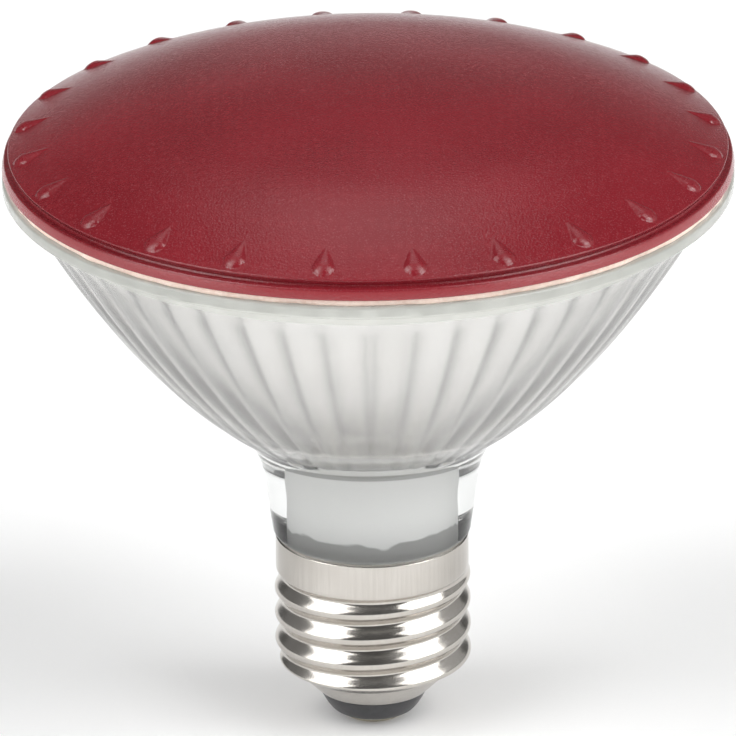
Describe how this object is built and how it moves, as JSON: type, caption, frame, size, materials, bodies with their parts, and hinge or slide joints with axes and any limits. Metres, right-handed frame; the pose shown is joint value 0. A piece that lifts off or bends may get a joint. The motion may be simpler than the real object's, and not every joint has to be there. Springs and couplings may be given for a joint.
{
  "type": "reflector lamp",
  "caption": "Reflector lamp with a domed red front glass, a ribbed pressed-glass parabolic bowl, a clear neck and an Edison screw cap; it throws a red beam.",
  "frame": {"origin": "centre of the flat tip of the cap's centre contact, on the lamp's axis", "axes": "+Z along the lamp's axis from the cap towards the front glass; the pictured front faces -Y"},
  "size_m": [0.097, 0.097, 0.0899],
  "materials": {
    "red_glass": "pressed, polished, lightly stippled",
    "seal_cement": "matt",
    "reflector_glass": "pressed clear glass, silvered inside",
    "cap_nickel": "nickel plated, rolled",
    "cap_cement": "matt",
    "black_glass": "moulded black glass",
    "contact_brass": "tinned",
    "spreader_aluminium": "turned",
    "thermal_pad": "soft, matt",
    "led_board_white": "white solder mask",
    "led_phosphor": "satin",
    "sleeve_plastic": "moulded",
    "circuit_board": "green solder mask",
    "capacitor_can": "dark film sleeve",
    "film_capacitor_box": "moulded",
    "transformer_ferrite": "ferrite, taped winding",
    "black_epoxy": "moulded",
    "fuse_coating": "baked coating",
    "lead_red": "insulated wire",
    "lead_black": "insulated wire",
    "lead_copper": "bare tinned wire"
  },
  "bodies": {
    "root": {"front_lens": "red_glass", "lens_seal": "seal_cement", "reflector": "reflector_glass", "screw_shell": "cap_nickel", "cap_cement": "cap_cement", "cap_insulator": "black_glass", "centre_contact": "contact_brass", "heat_spreader": "spreader_aluminium", "thermal_pad": "thermal_pad", "led_board": "led_board_white", "leds": "led_phosphor", "driver_sleeve": "sleeve_plastic", "driver_board": "circuit_board", "smoothing_capacitor": "capacitor_can", "film_capacitor": "film_capacitor_box", "transformer": "transformer_ferrite", "bridge_rectifier": "black_epoxy", "control_chip": "black_epoxy", "fuse_resistor": "fuse_coating", "positive_lead": "lead_red", "negative_lead": "lead_black", "live_lead": "lead_copper", "neutral_lead": "lead_copper"}
  },
  "joints": []
}
